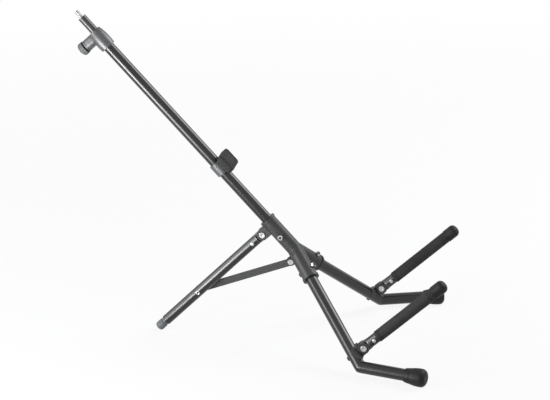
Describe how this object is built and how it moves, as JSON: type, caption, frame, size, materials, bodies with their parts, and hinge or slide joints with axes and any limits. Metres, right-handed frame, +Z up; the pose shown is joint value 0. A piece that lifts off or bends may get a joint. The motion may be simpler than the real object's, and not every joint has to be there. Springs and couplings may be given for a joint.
{
  "type": "amplifier_stand",
  "caption": "Folding tilt-back floor stand for a combo amplifier, with a telescoping boom mast, a hinged rear leg and fold-up support arms",
  "frame": {"origin": "on the floor in the middle plane, midway between the frontmost and the rearmost point", "axes": "+X to the stand's right hand as seen from the rear, -Y the front where the cabinet's grille faces, +Z up"},
  "size_m": [0.4782, 0.7854, 0.703],
  "materials": {
    "coat": "gloss",
    "cast": "satin",
    "slide": "gloss",
    "plastic": "satin",
    "knob": "satin",
    "zinc": "satin",
    "bright": "polished",
    "brass": "satin",
    "rubber": "matte",
    "foam": "matte",
    "plug": "matte",
    "dark_steel": "satin",
    "nylon": "satin"
  },
  "bodies": {
    "frame": {"hub_casting": "cast", "hub_bolts": "dark_steel", "hub_nuts": "zinc", "mast_tube": "coat", "clamp_collar": "plastic", "clamp_nut": "brass", "clamp_shoe": "brass", "left_front_leg": "coat", "right_front_leg": "coat", "left_foot_cap": "rubber", "right_foot_cap": "rubber", "left_arm_bracket": "cast", "right_arm_bracket": "cast", "arm_bracket_bolts": "dark_steel", "left_arm_pin": "zinc", "right_arm_pin": "zinc", "rear_pivot_pin": "zinc", "brace_pivot_pin": "zinc", "backrest_clip": "plastic", "backrest_pad": "foam"},
    "extension": {"slide_tube": "slide", "slide_guide": "nylon", "stud_plug": "plastic", "threaded_stud": "bright"},
    "clamp": {"clamp_screw": "zinc", "clamp_knob": "knob"},
    "rear_leg": {"rear_leg_knuckle": "plastic", "rear_leg_rivet": "zinc", "rear_leg_tube": "coat", "rear_leg_plug": "plug", "brace_rivet": "bright", "brace_washer": "nylon"},
    "brace": {"brace_strap": "dark_steel"},
    "left_arm": {"left_arm_knuckle": "plastic", "left_arm_rivet": "zinc", "left_arm_tube": "coat", "left_arm_sleeve": "foam", "left_arm_cap": "rubber"},
    "right_arm": {"right_arm_knuckle": "plastic", "right_arm_rivet": "zinc", "right_arm_tube": "coat", "right_arm_sleeve": "foam", "right_arm_cap": "rubber"}
  },
  "joints": [
    {"name": "mast_extend", "type": "slide", "parent": "frame", "child": "extension", "axis": [0, 0.6665, 0.7455], "range_m": [-0.03, 0.3]},
    {"name": "clamp_turn", "type": "hinge", "parent": "frame", "child": "clamp", "pos_m": [0, 0.37059, 0.62727], "axis": [0, 0.7455, -0.6665], "range_deg": [0, 360]},
    {"name": "rear_leg_fold", "type": "hinge", "parent": "frame", "child": "rear_leg", "pos_m": [0, 0.00884, 0.22943], "axis": [-1, 0, 0], "range_deg": [0, 87.9]},
    {"name": "brace_swing", "type": "hinge", "parent": "frame", "child": "brace", "pos_m": [0, -0.04748, 0.16344], "axis": [1, 0, 0], "range_deg": [0, 66]},
    {"name": "left_arm_fold", "type": "hinge", "parent": "frame", "child": "left_arm", "pos_m": [-0.16516, -0.22566, 0.05491], "axis": [-1, 0, 0], "range_deg": [0, 90]},
    {"name": "right_arm_fold", "type": "hinge", "parent": "frame", "child": "right_arm", "pos_m": [0.16516, -0.22566, 0.05491], "axis": [-1, 0, 0], "range_deg": [0, 90]}
  ]
}
